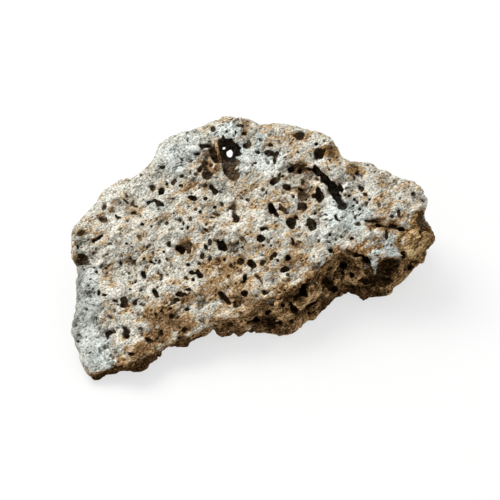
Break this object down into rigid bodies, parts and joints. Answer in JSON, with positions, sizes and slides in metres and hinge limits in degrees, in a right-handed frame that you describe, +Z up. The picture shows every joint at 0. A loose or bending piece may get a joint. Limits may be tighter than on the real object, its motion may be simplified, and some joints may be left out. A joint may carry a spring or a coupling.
{
  "type": "lava rock",
  "caption": "Loose hand-sized piece of vesicular lava rock: a pitted weathered face, a broken brown side and a flat, rough underside that it rests on.",
  "frame": {"origin": "centre of the bounding box in plan, at the height of the ground the rock rests on", "axes": "+Z up; +X to the right along the rock's longest side; +Y away from the viewer, so the weathered face looks towards -Y and up"},
  "size_m": [0.1214, 0.0886, 0.0461],
  "materials": {
    "lava_stone": "rough matte, pitted with gas bubbles"
  },
  "bodies": {
    "root": {"lava_rock": "lava_stone"}
  },
  "joints": []
}
